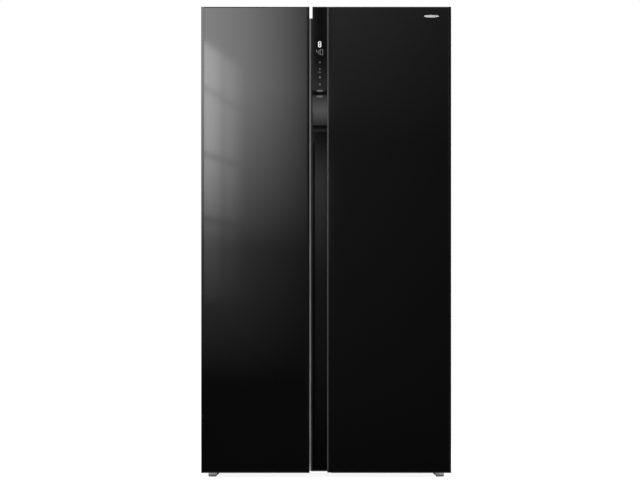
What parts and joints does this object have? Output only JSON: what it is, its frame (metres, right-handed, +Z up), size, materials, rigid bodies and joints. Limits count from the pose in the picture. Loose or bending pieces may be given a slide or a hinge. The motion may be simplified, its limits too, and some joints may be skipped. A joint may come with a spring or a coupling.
{
  "type": "side by side refrigerator",
  "caption": "Side by side refrigerator with black glass doors, a recessed grip strip with a touch panel, shelves, drawers, door bins and an ice maker.",
  "frame": {"origin": "on the floor, under the middle of the whole appliance", "axes": "+X to the right seen from the front, the doors face -Y, +Z up"},
  "size_m": [0.925, 0.69, 1.741],
  "materials": {
    "shell_paint": "satin",
    "zinc_steel": "satin",
    "mullion_grey": "satin",
    "black_plastic": "satin",
    "liner_white": "gloss",
    "foam": "matte",
    "door_glass": "gloss",
    "door_profile": "satin",
    "gasket_grey": "matte",
    "clear_plastic": "gloss",
    "shelf_glass": "gloss",
    "strip_black": "gloss",
    "trim_metal": "brushed",
    "lamp_lens": "satin",
    "compressor_black": "satin",
    "grommet_rubber": "matte",
    "aluminium_fins": "satin",
    "copper": "satin",
    "fan_plastic": "satin",
    "foot_grey": "satin"
  },
  "bodies": {
    "cabinet": {"outer_shell": "shell_paint", "base_pan": "zinc_steel", "freezer_liner": "liner_white", "fridge_liner": "liner_white", "insulation": "foam", "mullion_cover": "mullion_grey", "mullion_strip": "black_plastic", "back_panel": "zinc_steel", "wall_spacers": "black_plastic", "control_box_cover": "black_plastic", "base_frame": "zinc_steel", "upper_hinges": "zinc_steel", "lower_hinges": "zinc_steel", "hinge_covers": "black_plastic", "freezer_shelves": "shelf_glass", "fridge_shelves": "shelf_glass", "led_lamps": "lamp_lens", "evaporator": "aluminium_fins", "evaporator_cover": "liner_white", "air_duct_cover": "liner_white", "compressor": "compressor_black", "compressor_grommets": "grommet_rubber", "condenser": "aluminium_fins", "fan_shroud": "fan_plastic", "evaporation_tray": "black_plastic", "rear_cover": "zinc_steel", "refrigerant_pipes": "copper", "mains_inlet": "black_plastic", "ice_maker_frame": "liner_white", "ice_bin": "clear_plastic"},
    "freezer_door": {"freezer_door_glass": "door_glass", "freezer_door_profiles": "door_profile", "freezer_door_caps": "black_plastic", "freezer_door_foam": "foam", "freezer_door_liner": "liner_white", "freezer_door_gasket": "gasket_grey", "freezer_door_bins_lower": "clear_plastic", "freezer_door_bins_upper": "clear_plastic"},
    "fridge_door": {"fridge_door_glass": "door_glass", "fridge_door_profiles": "door_profile", "fridge_door_caps": "black_plastic", "fridge_door_foam": "foam", "fridge_door_liner": "liner_white", "fridge_door_gasket": "gasket_grey", "fridge_door_bins_lower": "clear_plastic", "fridge_door_bins_upper": "clear_plastic", "handle_channel": "strip_black", "control_panel": "strip_black", "edge_trim": "trim_metal"},
    "freezer_drawer_upper": {"freezer_drawer_upper": "clear_plastic"},
    "freezer_drawer_lower": {"freezer_drawer_lower": "clear_plastic"},
    "fridge_drawer_upper": {"fridge_drawer_upper": "clear_plastic"},
    "fridge_drawer_lower": {"fridge_drawer_lower": "clear_plastic"},
    "ice_tray": {"ice_tray": "liner_white"},
    "condenser_fan": {"condenser_fan": "fan_plastic"},
    "evaporator_fan": {"evaporator_fan": "fan_plastic"},
    "rear_roller_left": {"rear_roller_left": "fan_plastic"},
    "rear_roller_right": {"rear_roller_right": "fan_plastic"},
    "levelling_leg_left": {"levelling_leg_left": "foot_grey"},
    "levelling_leg_right": {"levelling_leg_right": "foot_grey"}
  },
  "joints": [
    {"name": "freezer_door_hinge", "type": "hinge", "parent": "cabinet", "child": "freezer_door", "pos_m": [-0.4485, -0.305, 0], "axis": [0, 0, -1], "range_deg": [0, 120]},
    {"name": "fridge_door_hinge", "type": "hinge", "parent": "cabinet", "child": "fridge_door", "pos_m": [0.4485, -0.305, 0], "axis": [0, 0, 1], "range_deg": [0, 120]},
    {"name": "freezer_drawer_upper_slide", "type": "slide", "parent": "cabinet", "child": "freezer_drawer_upper", "axis": [0, -1, 0], "range_m": [0, 0.2]},
    {"name": "freezer_drawer_lower_slide", "type": "slide", "parent": "cabinet", "child": "freezer_drawer_lower", "axis": [0, -1, 0], "range_m": [0, 0.15]},
    {"name": "fridge_drawer_upper_slide", "type": "slide", "parent": "cabinet", "child": "fridge_drawer_upper", "axis": [0, -1, 0], "range_m": [0, 0.2]},
    {"name": "fridge_drawer_lower_slide", "type": "slide", "parent": "cabinet", "child": "fridge_drawer_lower", "axis": [0, -1, 0], "range_m": [0, 0.15]},
    {"name": "ice_tray_twist", "type": "hinge", "parent": "cabinet", "child": "ice_tray", "pos_m": [-0.253, -0.045, 1.568], "axis": [0, 1, 0], "range_deg": [0, 120], "stiffness_Nm_per_rad": 0.15},
    {"name": "condenser_fan_spin", "type": "hinge", "parent": "cabinet", "child": "condenser_fan", "pos_m": [0.021, 0.232, 0.142], "axis": [1, 0, 0], "continuous": true},
    {"name": "evaporator_fan_spin", "type": "hinge", "parent": "cabinet", "child": "evaporator_fan", "pos_m": [-0.253, 0.23, 1.18], "axis": [0, 1, 0], "continuous": true},
    {"name": "rear_roller_left_spin", "type": "hinge", "parent": "cabinet", "child": "rear_roller_left", "pos_m": [-0.4025, 0.3, 0.018], "axis": [1, 0, 0], "continuous": true},
    {"name": "rear_roller_right_spin", "type": "hinge", "parent": "cabinet", "child": "rear_roller_right", "pos_m": [0.4025, 0.3, 0.018], "axis": [1, 0, 0], "continuous": true},
    {"name": "levelling_leg_left_slide", "type": "slide", "parent": "cabinet", "child": "levelling_leg_left", "axis": [0, 0, 1], "range_m": [-0.012, 0]},
    {"name": "levelling_leg_right_slide", "type": "slide", "parent": "cabinet", "child": "levelling_leg_right", "axis": [0, 0, 1], "range_m": [-0.012, 0]}
  ],
  "couplings": [
    {"joint": "freezer_drawer_upper_slide", "follows": "freezer_door_hinge", "m_per_rad": 0.0954},
    {"joint": "freezer_drawer_lower_slide", "follows": "freezer_door_hinge", "m_per_rad": 0.0716},
    {"joint": "fridge_drawer_upper_slide", "follows": "fridge_door_hinge", "m_per_rad": 0.0954},
    {"joint": "fridge_drawer_lower_slide", "follows": "fridge_door_hinge", "m_per_rad": 0.0716}
  ]
}
